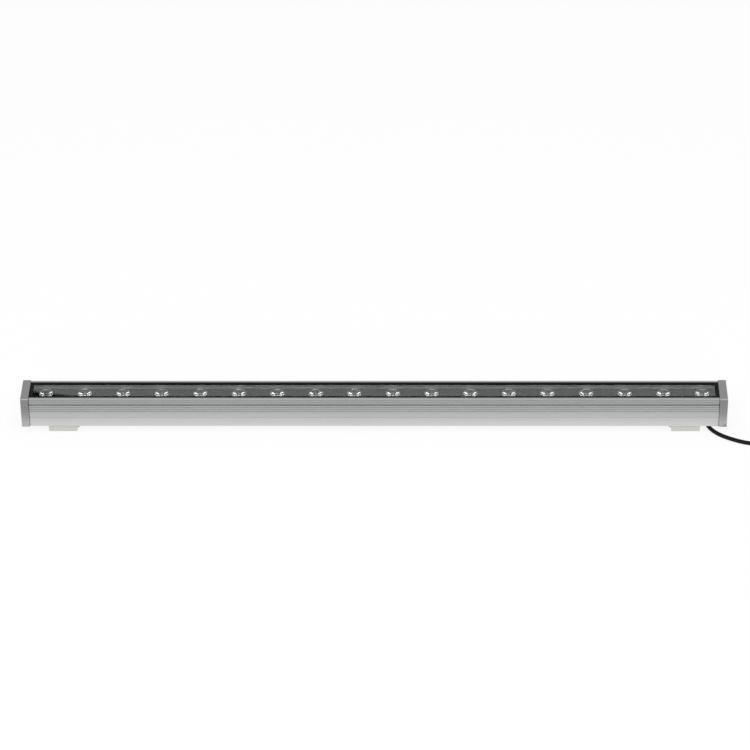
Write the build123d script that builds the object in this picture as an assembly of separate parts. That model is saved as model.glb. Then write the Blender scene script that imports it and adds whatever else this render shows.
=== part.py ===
from build123d import *
import math
import os

# A linear LED wall-washer bar, in millimetres.
# X runs along the bar, the viewer stands at -Y, Z is up.
# The origin is on the surface under the feet, below the middle of the bar.

# Overall sizes
lamp_length = 1000.0
body_width = 47.0
body_height = 46.5
cap_thickness = 11.5
cap_proud_side = 1.2
cap_proud_top = 0.9
cap_proud_bottom = 1.1
gasket_thickness = 0.5
gasket_inset = 0.2

# Housing extrusion
top_corner_radius = 0.8
bottom_corner_radius = 1.4
lip_width = 5.0
channel_wall = 4.5
chamber_wall = 2.6
floor_thickness = 2.4
optics_depth = 13.0
web_thickness = 3.0
ledge_reach = 3.0
ledge_thickness = 1.5
groove_pitch = 3.4
groove_mouth = 1.9
groove_bottom = 1.2
groove_depth = 0.75
wide_groove_mouth = 3.6
wide_groove_bottom = 3.2
wide_groove_depth = 2.3
wide_groove_pitch = 5.1
seam_drop = 30.7
seam_mouth = 0.8
seam_bottom = 0.4
seam_depth = 0.3
upper_grooves = 2
lower_grooves = 3

# Bracket slot in the underside
slot_opening = 8.2
slot_inner_width = 15.0
slot_lip = 2.2
slot_head_room = 5.0
slot_wall = 1.8

# Screw ports for the end caps
port_boss_radius = 3.5
port_side_inset = 5.5
lower_port_height = 5.2
port_fit_clearance = 0.05
cap_screw_radius = 1.9
cap_screw_length = 22.0
cap_screw_head_radius = 3.6
cap_screw_head_height = 3.4
cap_screw_hole_clearance = 0.3
counterbore_clearance = 0.6
counterbore_extra_depth = 0.5
cap_chamfer = 1.3
cap_face_chamfer = 0.6
hex_socket_radius = 1.7
hex_socket_depth = 1.8
hexagon_sides = 6

# Glass and its seal
glass_thickness = 4.0
glass_drop = 1.0
glass_side_clearance = 0.3
glass_edge_chamfer = 0.4
seal_width = 3.0
seal_thickness = 0.7
seal_chamfer = 0.35

# LED board, lenses and trim plate
led_count = 18
led_end_inset = 23.05
led_board_thickness = 1.6
led_board_side_gap = 1.0
led_board_end_gap = 9.0
board_screw_every = 2
board_screw_radius = 1.45
board_hole_clearance = 0.1
board_screw_head_radius = 2.7
board_screw_head_height = 1.6
emitter_size = 3.5
emitter_base_height = 0.7
emitter_dome_radius = 1.5
lens_radius = 10.1
lens_lip = 0.5
lens_bulge = 0.9
lens_flange_height = 1.3
lens_foot_radius = 4.6
lens_height = 9.4
lens_bowl_radius = 2.4
lens_bowl_top_radius = 1.92
lens_bowl_depth = 4.2
lens_top_gap = 1.1
holder_wall = 0.5
holder_clearance = 0.15
holder_leg_width = 5.0
holder_legs = 3
holder_window_height = 2.6
trim_thickness = 0.8
trim_depth_below_glass = 7.5
trim_side_clearance = 0.4
trim_hole_clearance = 0.5

# Driver in the lower chamber: places along its board are from the board's left end
driver_length = 290.0
driver_side_gap = 3.9
driver_outlet_gap = 22.2
driver_board_thickness = 1.6
driver_top_gap = 1.5
spacer_height = 2.0
spacer_width = 6.0
spacer_places = [48.3, 112.8, 177.2, 241.7]
transformer_place = 131.0
transformer_length = 22.0
transformer_width = 20.0
coil_place = 90.0
coil_radius = 7.0
coil_height = 8.0
capacitor_places = [40.0, 60.0, 175.0, 195.0]
capacitor_radius = 4.0
capacitor_y = 6.0
choke_places = [50.0, 185.0]
choke_length = 12.0
choke_width = 8.0
choke_height = 6.0
choke_y = -8.0
terminal_inset = 4.0
terminal_length = 10.0
terminal_width = 16.0
terminal_height = 8.0
lead_radius = 0.9
lead_spacing = 2.16
lead_terminal_spacing = 4.3
lead_run = 12.0
lead_end_run = 8.0
lead_corner_radius = 2.5
lead_rise_gap = 4.0
lead_top_gap = 0.8
lead_hole_radius = 2.8
lead_hole_inset = 3.0
led_lead_y = 3.0

# Cable outlet under the right end
cord_diameter = 6.0
outlet_end_inset = 31.3
outlet_heading = -78.0
outlet_stem_radius = 3.6
outlet_hole_clearance = 0.15
outlet_stem_rise = 7.0
outlet_flange_radius = 5.6
outlet_flange_height = 0.8
outlet_washer_height = 0.6
relief_radius = 4.8
relief_bend = 5.5
relief_nose_length = 9.0
relief_nose_radius = 3.7
outlet_nut_radius = 5.4
outlet_nut_height = 3.0
outlet_pocket_clearance = 0.3
relief_neck = 1.2

# Feet and brackets, one set at each end
foot_end_inset = 57.3
foot_width = 40.2
foot_thickness = 4.0
foot_length = 33.35
foot_back_radius = 1.2
pivot_y = -12.0
barrel_radius = 4.35
barrel_floor_gap = 0.4
barrel_top_gap = 0.35
ear_width = 10.0
ear_side_clearance = 0.3
pivot_radius = 2.5
pivot_clearance = 0.05
bolt_fit_clearance = 0.05
pivot_head_radius = 4.2
pivot_head_height = 3.0
pivot_head_chamfer = 0.75
pivot_washer_radius = 4.4
pivot_washer_height = 0.8
foot_slot_side_inset = 8.6
foot_slot_back_inset = 9.0
foot_slot_length = 10.0
foot_slot_radius = 2.75
hanger_thickness = 2.5
hanger_back_y = 7.5
slide_clearance = 0.05
guide_top_gap = 0.5
guide_side_clearance = 0.2
slider_side_clearance = 0.4
slider_top_gap = 1.15
clamp_bolt_radius = 2.5
clamp_head_radius = 4.6
clamp_head_height = 2.6
clamp_head_chamfer = 0.85
clamp_hole_clearance = 0.1

# Cord route: X from the outlet, Y from the bar's middle, then the gap below the cord
cord_first_run = 14.5
cord_points_seen = [
    (16.3, -25.3, 0.2),
    (32.3, -37.3, 0.0),
    (57.5, -49.6, 0.0),
]
cord_last_run = 28.0
hank_outlet_gap = 162.0
hank_run = 90.0
hank_inner_radius = 18.0
hank_strand_gap = 1.0
hank_layer_gap = 0.5
hank_waist_draw = 3.0
hank_nodes_per_loop = 8
hank_climb_nodes = 2
hank_turning_node = 9
hank_last_node = 19
hank_front_y = -54.0
tie_width = 10.0
tie_thickness = 0.7
tie_clearance = 0.1
tie_side_clearance = 0.45
tail_points = [
    (216.5, 18.0, 7.1),
    (198.0, 27.0, 5.5),
]
tail_first_run = 19.0
tail_last_run = 18.0
connector_radius = 6.4
connector_body_length = 16.0
connector_boot_length = 12.0
connector_boot_radius = 4.4
connector_boot_step = 1.0
connector_nose_radius = 5.0
connector_nose_length = 12.0
connector_ring_radius = 8.4
connector_ring_length = 13.0
connector_ring_setback = 4.3
connector_ring_clearance = 0.15
connector_flutes = 12
connector_flute_radius = 0.8
contact_radius = 1.0
contact_bore_radius = 0.6
contact_depth = 8.0
contact_circle_radius = 2.4
contact_count = 3

# How far a cutting shape reaches past what it cuts, and how near a point is to a level that it lies on
overrun = 1.0
near = 0.01

# Values that follow from the ones above
pivot_z = foot_thickness + barrel_floor_gap + barrel_radius
hanger_top = pivot_z + barrel_radius + barrel_top_gap
hanger_bottom = hanger_top - hanger_thickness
body_bottom = hanger_top + slide_clearance
body_top = body_bottom + body_height
cap_inner_x = lamp_length / 2 - cap_thickness
extrusion_end_x = cap_inner_x - gasket_thickness
glass_top = body_top - glass_drop
glass_bottom = glass_top - glass_thickness
seat_half_width = body_width / 2 - lip_width
channel_half_width = body_width / 2 - channel_wall
chamber_half_width = body_width / 2 - chamber_wall
chamber_bottom = body_bottom + floor_thickness
web_top = glass_bottom - optics_depth
chamber_top = web_top - web_thickness
board_top = web_top + led_board_thickness
trim_top = glass_bottom - trim_depth_below_glass
lens_top = glass_bottom - lens_top_gap
lens_bottom = lens_top - lens_height
slot_lip_top = body_bottom + slot_lip
slot_roof = slot_lip_top + slot_head_room
slot_block_half_width = slot_inner_width / 2 + slot_wall
slot_block_top = slot_roof + slot_wall
port_radius = cap_screw_radius + port_fit_clearance
port_y = body_width / 2 - port_side_inset
upper_port_z = trim_top - trim_thickness - port_boss_radius
led_pitch = 2 * (extrusion_end_x - led_end_inset) / (led_count - 1)
led_board_width = 2 * (port_y - port_boss_radius - led_board_side_gap)
lead_rise_y = led_board_width / 2 - lead_hole_inset
foot_front_y = pivot_y - barrel_radius
foot_back_y = foot_front_y + foot_length
hanger_width = foot_width - 2 * ear_width - 2 * ear_side_clearance
slider_bottom = slot_lip_top + slide_clearance
slider_top = slot_roof - slider_top_gap
outlet_x = lamp_length / 2 - outlet_end_inset
outlet_y = (slot_block_half_width + chamber_half_width) / 2
flange_top = body_bottom - outlet_washer_height
flange_bottom = flange_top - outlet_flange_height
relief_top = flange_bottom - relief_neck
cord_start_z = relief_top - relief_bend
driver_right = outlet_x - driver_outlet_gap
driver_left = driver_right - driver_length
driver_board_bottom = slot_block_top + spacer_height
driver_board_top = driver_board_bottom + driver_board_thickness
terminal_lead_z = driver_board_top + terminal_height / 2
cord_radius = cord_diameter / 2
hank_step = cord_diameter + hank_strand_gap
hank_layer_rise = cord_diameter + hank_layer_gap
hank_first_radius = hank_inner_radius + hank_step * hank_turning_node / hank_nodes_per_loop
hank_centre_x = outlet_x + hank_outlet_gap
hank_centre_y = hank_front_y + hank_first_radius
hank_z = tie_thickness + tie_clearance + cord_radius
heading = Vector(math.cos(math.radians(outlet_heading)), math.sin(math.radians(outlet_heading)), 0)


def along_x(sketch, start, length):
    """A section drawn in Y and Z, carried along X."""
    return extrude(Plane.YZ.offset(start) * sketch, amount=length)


def cylinder_x(radius, length, start, y, z):
    """A round bar along X that starts at start."""
    return Plane.YZ.offset(start) * Pos(y, z) * extrude(Circle(radius), amount=length)


def cylinder_z(radius, height, x, y, bottom):
    """An upright round bar that stands on bottom."""
    return Pos(x, y, bottom) * extrude(Circle(radius), amount=height)


def bore_x(radius, start, end, y, z):
    """A cutting cylinder along X, past both of the faces that it goes through."""
    return cylinder_x(radius, end - start + 2 * overrun, start - overrun, y, z)


def bore_z(radius, bottom, top, x, y):
    """An upright cutting cylinder, past both of the faces that it goes through."""
    return cylinder_z(radius, top - bottom + 2 * overrun, x, y, bottom - overrun)


def block(x_range, y_range, z_range):
    """A box between two values on each axis."""
    size = [high - low for low, high in (x_range, y_range, z_range)]
    centre = [(low + high) / 2 for low, high in (x_range, y_range, z_range)]
    return Pos(*centre) * Box(*size)


def side_groove(drop, mouth, bottom, depth, side):
    """A groove with sloping walls in one side face, drop below the top edge."""
    face_y = body_width / 2
    inner_y = face_y - depth
    outer_y = face_y + depth * (mouth - bottom) / mouth
    level = body_top - drop
    corners = [
        (side * inner_y, level - bottom / 2),
        (side * inner_y, level + bottom / 2),
        (side * outer_y, level + mouth / 2),
        (side * outer_y, level - mouth / 2),
    ]
    return make_face(Polyline(*corners, close=True))


def groove_rows():
    """The drop, mouth, bottom and depth of every groove in a side face, from the top down."""
    rows = []
    for i in range(upper_grooves):
        rows.append((groove_pitch * (i + 0.5), groove_mouth, groove_bottom, groove_depth))
    upper_end = groove_pitch * upper_grooves
    wide_drop = upper_end + wide_groove_pitch / 2
    rows.append((wide_drop, wide_groove_mouth, wide_groove_bottom, wide_groove_depth))
    for i in range(lower_grooves):
        drop = upper_end + wide_groove_pitch + groove_pitch * (i + 0.5)
        rows.append((drop, groove_mouth, groove_bottom, groove_depth))
    rows.append((seam_drop, seam_mouth, seam_bottom, seam_depth))
    return rows


def rectangle_between(y_low, y_high, z_low, z_high):
    """A rectangle in the section, between two values on each axis."""
    centre = Pos((y_low + y_high) / 2, (z_low + z_high) / 2)
    return centre * Rectangle(y_high - y_low, z_high - z_low)


def port_centres():
    """Where the four end cap screws go, in the section."""
    heights = (body_bottom + lower_port_height, upper_port_z)
    return [(side * port_y, height) for height in heights for side in (-1, 1)]


def at_level(outline, axis, level):
    """The outline's corners that lie on a level."""
    return outline.vertices().filter_by_position(axis, level - near, level + near)


def body_outline(inset=0.0):
    """The outside of the bar's section, with rounded corners."""
    half = body_width / 2 - inset
    low, high = body_bottom + inset, body_top - inset
    outline = rectangle_between(-half, half, low, high)
    outline = fillet(at_level(outline, Axis.Y, high), top_corner_radius)
    return fillet(at_level(outline, Axis.Y, low), bottom_corner_radius)


def port_walls():
    """The bosses round the four screw ports, joined to the side walls."""
    walls = Sketch()
    for y, z in port_centres():
        wall_y = math.copysign(body_width / 2, y)
        walls += Pos(y, z) * Circle(port_boss_radius)
        walls += rectangle_between(min(y, wall_y), max(y, wall_y), z - port_boss_radius, z + port_boss_radius)
    return walls


def housing_section():
    """The extrusion's section: grooved sides, a glass seat, two chambers and a bracket slot."""
    section = body_outline()
    for side in (-1, 1):
        for drop, mouth, bottom, depth in groove_rows():
            section -= side_groove(drop, mouth, bottom, depth, side)
    ledge_bottom = glass_bottom - ledge_thickness
    opening = channel_half_width - ledge_reach
    section -= rectangle_between(-seat_half_width, seat_half_width, glass_bottom, body_top + overrun)
    section -= rectangle_between(-opening, opening, ledge_bottom - overrun, glass_bottom)
    channel = rectangle_between(-channel_half_width, channel_half_width, web_top, ledge_bottom)
    section -= channel - port_walls()
    chamber = rectangle_between(-chamber_half_width, chamber_half_width, chamber_bottom, chamber_top)
    chamber -= rectangle_between(-slot_block_half_width, slot_block_half_width, body_bottom, slot_block_top)
    section -= chamber - port_walls()
    section -= rectangle_between(-slot_opening / 2, slot_opening / 2, body_bottom - overrun, slot_roof)
    section -= rectangle_between(-slot_inner_width / 2, slot_inner_width / 2, slot_lip_top, slot_roof)
    for y, z in port_centres():
        section -= Pos(y, z) * Circle(port_radius)
    return section


def make_housing():
    """The extruded bar, with the cable outlet's hole in its floor and a milled pocket for its nut."""
    bar = along_x(housing_section(), -extrusion_end_x, 2 * extrusion_end_x)
    bar -= bore_z(outlet_stem_radius + outlet_hole_clearance, body_bottom, chamber_bottom, outlet_x, outlet_y)
    pocket_height = body_bottom + lower_port_height + port_boss_radius - chamber_bottom
    pocket_radius = outlet_nut_radius + outlet_pocket_clearance
    bar -= cylinder_z(pocket_radius, pocket_height, outlet_x, outlet_y, chamber_bottom)
    return bar - bore_z(lead_hole_radius, chamber_top, web_top, led_lead_x(), lead_rise_y)


def make_glass():
    """The flat glass on its ledges, with its long top edges taken off."""
    half_width = seat_half_width - glass_side_clearance
    half_length = extrusion_end_x - glass_side_clearance
    pane = block((-half_length, half_length), (-half_width, half_width), (glass_bottom, glass_top))
    return chamfer(pane.faces().sort_by(Axis.Z)[-1].edges(), glass_edge_chamfer)


def make_glass_seal():
    """The black bead that covers the glass's edges and fills up to the lips."""
    seal_top = glass_top + seal_thickness
    outer = block(
        (-extrusion_end_x, extrusion_end_x), (-seat_half_width, seat_half_width), (glass_top, seal_top)
    )
    inner_x = extrusion_end_x - seal_width
    inner_y = seat_half_width - seal_width
    ring = outer - block((-inner_x, inner_x), (-inner_y, inner_y), (glass_top - overrun, seal_top + overrun))
    near_opening = [
        edge for edge in ring.faces().sort_by(Axis.Z)[-1].edges()
        if abs(edge.center().X) < inner_x + near and abs(edge.center().Y) < inner_y + near
    ]
    return chamfer(near_opening, seal_chamfer)


def led_positions():
    """The middle of each light along the bar."""
    return [(i - (led_count - 1) / 2) * led_pitch for i in range(led_count)]


def make_trim_plate():
    """The dark plate round the lenses, with one hole for each."""
    half_width = channel_half_width - trim_side_clearance
    half_length = extrusion_end_x - trim_side_clearance
    bottom = trim_top - trim_thickness
    plate = block((-half_length, half_length), (-half_width, half_width), (bottom, trim_top))
    hole_radius = lens_radius + holder_wall + trim_hole_clearance
    return plate - [bore_z(hole_radius, bottom, trim_top, x, 0) for x in led_positions()]


def board_screw_positions():
    """The LED board's screws, each midway between two lights."""
    xs = led_positions()
    return [(xs[i] + xs[i + 1]) / 2 for i in range(0, led_count - 1, board_screw_every)]


def make_led_board():
    """The aluminium-core board on the web."""
    half_length = extrusion_end_x - led_board_end_gap
    board = block(
        (-half_length, half_length), (-led_board_width / 2, led_board_width / 2), (web_top, board_top)
    )
    screw_hole = board_screw_radius + board_hole_clearance
    board -= [bore_z(screw_hole, web_top, board_top, x, 0) for x in board_screw_positions()]
    return board - bore_z(lead_hole_radius, web_top, board_top, led_lead_x(), lead_rise_y)


def make_board_screws():
    """Pan-head screws that hold the LED board."""
    screws = []
    for x in board_screw_positions():
        screw = cylinder_z(board_screw_radius, led_board_thickness, x, 0, web_top)
        screw += cylinder_z(board_screw_head_radius, board_screw_head_height, x, 0, board_top)
        screws.append(screw)
    return screws


def make_emitters():
    """Each light: a square base with a small dome."""
    emitters = []
    half = emitter_size / 2
    base_top = board_top + emitter_base_height
    for x in led_positions():
        base = block((x - half, x + half), (-half, half), (board_top, base_top))
        above = block((x - half, x + half), (-half, half), (base_top, base_top + 2 * emitter_dome_radius))
        dome = Pos(x, 0, base_top) * Sphere(emitter_dome_radius)
        emitters.append(base + (dome & above))
    return emitters


def make_lens(x):
    """A clear collimating lens: a flange, a curved reflecting side and a bowl over the light."""
    flange_low = lens_height - lens_flange_height
    waist_radius = lens_radius - lens_lip
    middle = ((lens_foot_radius + waist_radius) / 2 + lens_bulge, flange_low / 2)
    outline = ThreePointArc((lens_foot_radius, 0), middle, (waist_radius, flange_low))
    outline += Polyline(
        (waist_radius, flange_low), (lens_radius, flange_low), (lens_radius, lens_height), (0, lens_height),
        (0, lens_bowl_depth), (lens_bowl_top_radius, lens_bowl_depth), (lens_bowl_radius, 0),
        (lens_foot_radius, 0)
    )
    return Pos(x, 0, lens_bottom) * revolve(Plane.XZ * make_face(outline), Axis.Z)


def make_holder(x):
    """The lens's holder: a tube under the flange, on three legs that stand on the board."""
    inner = lens_radius - lens_lip + holder_clearance
    outer = lens_radius + holder_wall
    top = lens_top - lens_flange_height
    tube = cylinder_z(outer, top - board_top, x, 0, board_top) - bore_z(inner, board_top, top, x, 0)
    half = holder_leg_width / 2
    windows = cylinder_z(outer + overrun, holder_window_height, x, 0, board_top)
    for i in range(holder_legs):
        turn = Pos(x, 0, 0) * Rot(0, 0, 90 + 360 / holder_legs * i)
        reach = (0, outer + 2 * overrun)
        windows -= turn * block(reach, (-half, half), (board_top, board_top + holder_window_height))
    return tube - windows


def led_lead_x():
    """Where the LED leads rise through the web: midway between two lights, beside the driver's left end."""
    xs = led_positions()
    before = max(i for i in range(led_count) if xs[i] < driver_left - lead_run)
    return (xs[before] + xs[before - 1]) / 2


def tube_along(points, radii, radius):
    """A round tube along straight runs with rounded corners."""
    path = FilletPolyline(*points, radius=radii)
    start = path @ 0
    section = Plane(origin=start, z_dir=path % 0) * Circle(radius)
    return sweep(section, path=path)


def corner_radii(points, share=0.45):
    """The radius of each corner of a route: share of its shorter run over the tangent of half the turn."""
    radii = []
    for before, corner, after in zip(points, points[1:], points[2:]):
        run_in = Vector(*corner) - Vector(*before)
        run_out = Vector(*after) - Vector(*corner)
        turn = math.radians(run_in.get_angle(run_out))
        radii.append(share * min(run_in.length, run_out.length) / math.tan(turn / 2))
    return radii


def make_driver_board():
    """The driver's board, on spacers over the bracket slot."""
    half_width = chamber_half_width - driver_side_gap
    return block(
        (driver_left, driver_right), (-half_width, half_width), (driver_board_bottom, driver_board_top)
    )


def make_driver_spacers():
    """The blocks that the driver board stands on."""
    half = spacer_width / 2
    xs = [driver_left + place for place in spacer_places]
    return [block((x - half, x + half), (-half, half), (slot_block_top, driver_board_bottom)) for x in xs]


def on_driver(place, y, length, width, height):
    """A block that stands on the driver board, its middle at a place from the board's left end."""
    x = driver_left + place
    return block(
        (x - length / 2, x + length / 2), (y - width / 2, y + width / 2),
        (driver_board_top, driver_board_top + height)
    )


def make_driver_components():
    """What stands on the driver board: transformer, coil, capacitors, chokes and two terminal blocks."""
    tall = chamber_top - driver_top_gap - driver_board_top
    pieces = [
        on_driver(transformer_place, 0, transformer_length, transformer_width, tall),
        cylinder_z(coil_radius, coil_height, driver_left + coil_place, 0, driver_board_top),
    ]
    for place in (terminal_inset + terminal_length / 2, driver_length - terminal_inset - terminal_length / 2):
        pieces.append(on_driver(place, 0, terminal_length, terminal_width, terminal_height))
    for place in capacitor_places:
        pieces.append(cylinder_z(capacitor_radius, tall, driver_left + place, capacitor_y, driver_board_top))
    for place in choke_places:
        pieces.append(on_driver(place, choke_y, choke_length, choke_width, choke_height))
    return pieces


def make_input_leads():
    """Three leads from the cable's end to the driver's right terminal block."""
    terminal_x = driver_right - terminal_inset
    stem_top = body_bottom + outlet_stem_rise
    leads = []
    for i in (-1, 0, 1):
        points = [
            (outlet_x + lead_spacing * i, outlet_y, stem_top),
            (outlet_x + lead_spacing * i, outlet_y, terminal_lead_z),
            (terminal_x + lead_end_run, lead_terminal_spacing * i, terminal_lead_z),
            (terminal_x, lead_terminal_spacing * i, terminal_lead_z),
        ]
        leads.append(tube_along(points, [lead_corner_radius, lead_corner_radius], lead_radius))
    return leads


def make_led_leads():
    """Two leads from the driver's left terminal block up through the web to the LED board."""
    start_x = driver_left + terminal_inset
    leads = []
    for side in (-1, 1):
        x = led_lead_x() + side * lead_spacing / 2
        points = [
            (start_x, side * led_lead_y, terminal_lead_z),
            (start_x - lead_run, side * led_lead_y, terminal_lead_z),
            (x, lead_rise_y, chamber_top - lead_rise_gap),
            (x, lead_rise_y, board_top + lead_top_gap),
        ]
        leads.append(tube_along(points, [lead_corner_radius, lead_corner_radius], lead_radius))
    return leads


def make_end_cap(side):
    """A thick cap, proud of the bar all round, with four counterbored screw holes."""
    half = body_width / 2 + cap_proud_side
    low, high = body_bottom - cap_proud_bottom, body_top + cap_proud_top
    outline = chamfer(rectangle_between(-half, half, low, high).vertices(), cap_chamfer)
    outer_x = cap_inner_x + cap_thickness
    cap = along_x(outline, cap_inner_x, cap_thickness)
    cap = chamfer(cap.faces().sort_by(Axis.X)[-1].edges(), cap_face_chamfer)
    for y, z in port_centres():
        cap -= bore_x(cap_screw_radius + cap_screw_hole_clearance, cap_inner_x, outer_x, y, z)
        cap -= bore_x(cap_screw_head_radius + counterbore_clearance, screw_seat_x() + overrun, outer_x, y, z)
    return cap if side > 0 else mirror(cap, Plane.YZ)


def screw_seat_x():
    """Where the heads of the end cap screws sit."""
    return lamp_length / 2 - cap_screw_head_height - counterbore_extra_depth


def make_end_gasket(side):
    """The flat gasket between the bar and its cap."""
    gasket = along_x(body_outline(gasket_inset), extrusion_end_x, gasket_thickness)
    for y, z in port_centres():
        gasket -= bore_x(cap_screw_radius + cap_screw_hole_clearance, extrusion_end_x, cap_inner_x, y, z)
    return gasket if side > 0 else mirror(gasket, Plane.YZ)


def hex_socket():
    """The screws' hexagon socket, a cut that starts one overrun outside the head."""
    return extrude(RegularPolygon(hex_socket_radius, hexagon_sides), amount=hex_socket_depth + overrun)


def make_cap_screws(side):
    """Four cap-head screws with hexagon sockets."""
    seat_x = screw_seat_x()
    head_end = seat_x + cap_screw_head_height
    screws = []
    for y, z in port_centres():
        screw = cylinder_x(cap_screw_radius, cap_screw_length, seat_x - cap_screw_length, y, z)
        screw += cylinder_x(cap_screw_head_radius, cap_screw_head_height, seat_x, y, z)
        screw -= Plane.YZ.offset(head_end - hex_socket_depth) * Pos(y, z) * hex_socket()
        screws.append(screw if side > 0 else mirror(screw, Plane.YZ))
    return screws


def relief_points():
    """The strain relief's centreline: the top of its bend, where its nose starts, and the nose's end."""
    top = Vector(outlet_x, outlet_y, relief_top)
    nose_start = Vector(outlet_x, outlet_y, cord_start_z) + heading * relief_bend
    nose_end = nose_start + heading * relief_nose_length
    return top, nose_start, nose_end


def make_strain_relief():
    """A moulded elbow: a stem through the floor, a flange, a bend and a tapered nose."""
    top, nose_start = relief_points()[:2]
    stem_top = body_bottom + outlet_stem_rise
    stem = cylinder_z(outlet_stem_radius, stem_top - flange_top, outlet_x, outlet_y, flange_top)
    flange = cylinder_z(outlet_flange_radius, outlet_flange_height, outlet_x, outlet_y, flange_bottom)
    neck = cylinder_z(relief_radius, relief_neck, outlet_x, outlet_y, relief_top)
    bend_path = Edge.make_tangent_arc(top, Vector(0, 0, -1), nose_start)
    bend = sweep(Plane(origin=top, z_dir=(0, 0, -1)) * Circle(relief_radius), path=bend_path)
    nose_plane = Plane(origin=nose_start, z_dir=heading)
    nose = loft([
        nose_plane * Circle(relief_radius),
        nose_plane.offset(relief_nose_length) * Circle(relief_nose_radius),
    ])
    return stem + flange + neck + bend + nose


def make_outlet_washer():
    """The sealing washer between the elbow's flange and the bar's floor."""
    washer = cylinder_z(outlet_flange_radius, outlet_washer_height, outlet_x, outlet_y, flange_top)
    bore = outlet_stem_radius + bolt_fit_clearance
    return washer - bore_z(bore, flange_top, body_bottom, outlet_x, outlet_y)


def make_outlet_nut():
    """The hexagon nut that holds the elbow, inside the lower chamber."""
    nut = Pos(outlet_x, outlet_y, chamber_bottom) * extrude(
        RegularPolygon(outlet_nut_radius, hexagon_sides), amount=outlet_nut_height
    )
    top = chamber_bottom + outlet_nut_height
    return nut - bore_z(outlet_stem_radius + bolt_fit_clearance, chamber_bottom, top, outlet_x, outlet_y)


def foot_x(side):
    """The middle of one foot along the bar."""
    return side * (lamp_length / 2 - foot_end_inset)


def make_slider(side):
    """The plate nut that runs in the bracket slot."""
    x = foot_x(side)
    half = slot_inner_width / 2 - slider_side_clearance
    plate = block((x - hanger_width / 2, x + hanger_width / 2), (-half, half), (slider_bottom, slider_top))
    return plate - bore_z(clamp_bolt_radius + bolt_fit_clearance, slider_bottom, slider_top, x, 0)


def make_hanger(side):
    """The bracket's upper piece: a plate under the slot with a guide rib, and a barrel for the pivot."""
    x = foot_x(side)
    guide = slot_opening / 2 - guide_side_clearance
    guide_top = slot_lip_top - guide_top_gap
    start, end = x - hanger_width / 2, x + hanger_width / 2
    section = rectangle_between(pivot_y, hanger_back_y, hanger_bottom, hanger_top)
    section += Pos(pivot_y, pivot_z) * Circle(barrel_radius)
    section += rectangle_between(-guide, guide, hanger_bottom, guide_top)
    hanger = along_x(section, start, hanger_width)
    hanger -= bore_x(pivot_radius + pivot_clearance, start, end, pivot_y, pivot_z)
    return hanger - bore_z(clamp_bolt_radius + clamp_hole_clearance, hanger_bottom, guide_top, x, 0)


def make_clamp_bolt(side):
    """The button-head bolt that clamps the hanger to the slider."""
    x = foot_x(side)
    head_bottom = hanger_bottom - clamp_head_height
    head = cylinder_z(clamp_head_radius, clamp_head_height, x, 0, head_bottom)
    head = chamfer(head.faces().sort_by(Axis.Z)[0].edges(), clamp_head_chamfer)
    bolt = head + cylinder_z(clamp_bolt_radius, slider_top - hanger_bottom, x, 0, hanger_bottom)
    return bolt - Pos(x, 0, head_bottom - overrun) * hex_socket()


def make_foot(side):
    """The foot: a flat plate with two fixing slots, and two ears for the pivot."""
    x = foot_x(side)
    half = foot_width / 2
    plate = rectangle_between(foot_front_y, foot_back_y, 0, foot_thickness)
    foot = along_x(fillet(at_level(plate, Axis.X, foot_back_y), foot_back_radius), x - half, foot_width)
    ear = Pos(pivot_y, pivot_z) * Circle(barrel_radius)
    ear += rectangle_between(foot_front_y, pivot_y + barrel_radius, 0, pivot_z)
    foot += along_x(ear, x - half, ear_width)
    foot += along_x(ear, x + half - ear_width, ear_width)
    foot -= bore_x(pivot_radius + bolt_fit_clearance, x - half, x + half, pivot_y, pivot_z)
    for end in (-1, 1):
        slot = SlotOverall(foot_slot_length, 2 * foot_slot_radius)
        slot_x = x + end * (half - foot_slot_side_inset)
        place = Pos(slot_x, foot_back_y - foot_slot_back_inset, -overrun)
        foot -= place * extrude(slot, amount=foot_thickness + 2 * overrun)
    return foot


def make_pivot_bolt(side):
    """The pivot bolt: its head on the side towards the middle, its tip flush in the far ear."""
    half = foot_width / 2
    head_end = -half - pivot_washer_height
    head_start = head_end - pivot_head_height
    head = cylinder_x(pivot_head_radius, pivot_head_height, head_start, pivot_y, pivot_z)
    head = chamfer(head.faces().sort_by(Axis.X)[0].edges(), pivot_head_chamfer)
    bolt = head + cylinder_x(pivot_radius, half - head_end, head_end, pivot_y, pivot_z)
    bolt -= Plane.YZ.offset(head_start - overrun) * Pos(pivot_y, pivot_z) * hex_socket()
    bolt = bolt if side > 0 else mirror(bolt, Plane.YZ)
    return Pos(foot_x(side), 0, 0) * bolt


def make_pivot_washer(side):
    """The washer under the pivot bolt's head."""
    end = -foot_width / 2
    start = end - pivot_washer_height
    washer = cylinder_x(pivot_washer_radius, pivot_washer_height, start, pivot_y, pivot_z)
    washer -= bore_x(pivot_radius + bolt_fit_clearance, start, end, pivot_y, pivot_z)
    washer = washer if side > 0 else mirror(washer, Plane.YZ)
    return Pos(foot_x(side), 0, 0) * washer


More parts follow.
